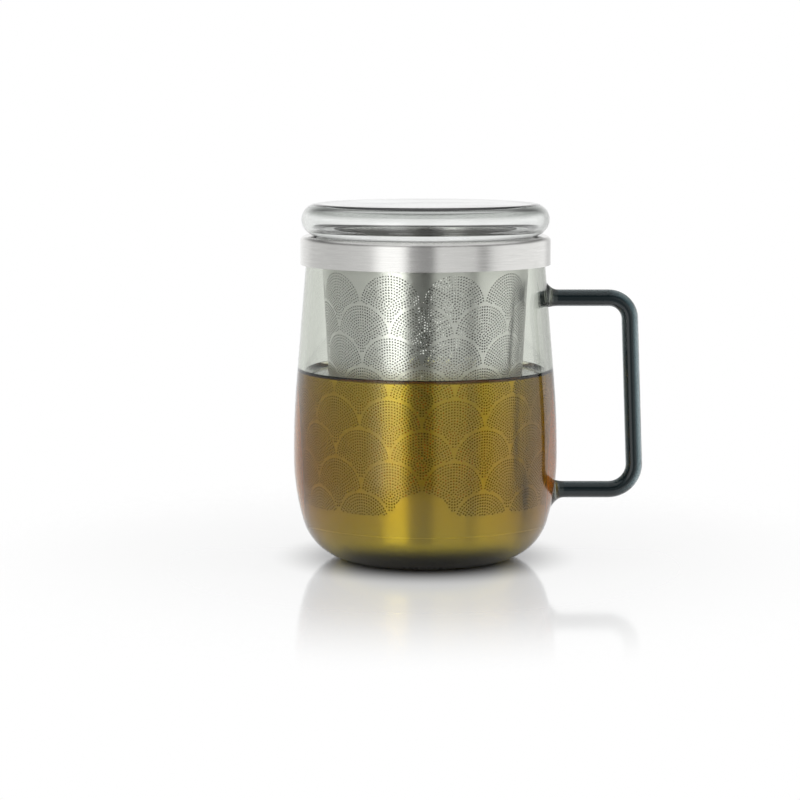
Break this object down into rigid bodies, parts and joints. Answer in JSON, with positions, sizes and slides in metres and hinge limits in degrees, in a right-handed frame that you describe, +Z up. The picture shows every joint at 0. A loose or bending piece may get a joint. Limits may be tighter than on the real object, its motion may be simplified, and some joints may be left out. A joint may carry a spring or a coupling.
{
  "type": "tea glass with infuser",
  "caption": "Barrel-shaped glass tea mug with a smoked-glass rod handle, a lift-out perforated steel infuser hung from a brushed collar, and a lift-off smoked-glass lid.",
  "frame": {"origin": "middle of the mug's flat foot, on the table", "axes": "+Z up along the mug's axis, +X towards the handle"},
  "size_m": [0.1225, 0.0924, 0.1244],
  "materials": {
    "clear_glass": "clear blown borosilicate glass",
    "smoked_glass": "dark smoked glass rod, fire polished",
    "lid_glass": "lightly smoked glass",
    "brushed_steel": "stainless steel, brushed round the ring",
    "satin_steel": "stainless steel sheet, satin"
  },
  "bodies": {
    "glass": {"glass_body": "clear_glass", "handle": "smoked_glass", "upper_handle_weld": "clear_glass", "lower_handle_weld": "clear_glass"},
    "infuser": {"infuser_wall": "satin_steel", "infuser_base": "satin_steel", "infuser_collar": "brushed_steel"},
    "lid": {"lid": "lid_glass"}
  },
  "joints": [
    {"name": "infuser_lift", "type": "slide", "parent": "glass", "child": "infuser", "axis": [0, 0, 1], "range_m": [0, 0.12]},
    {"name": "lid_lift", "type": "slide", "parent": "infuser", "child": "lid", "axis": [0, 0, 1], "range_m": [0, 0.04]}
  ]
}
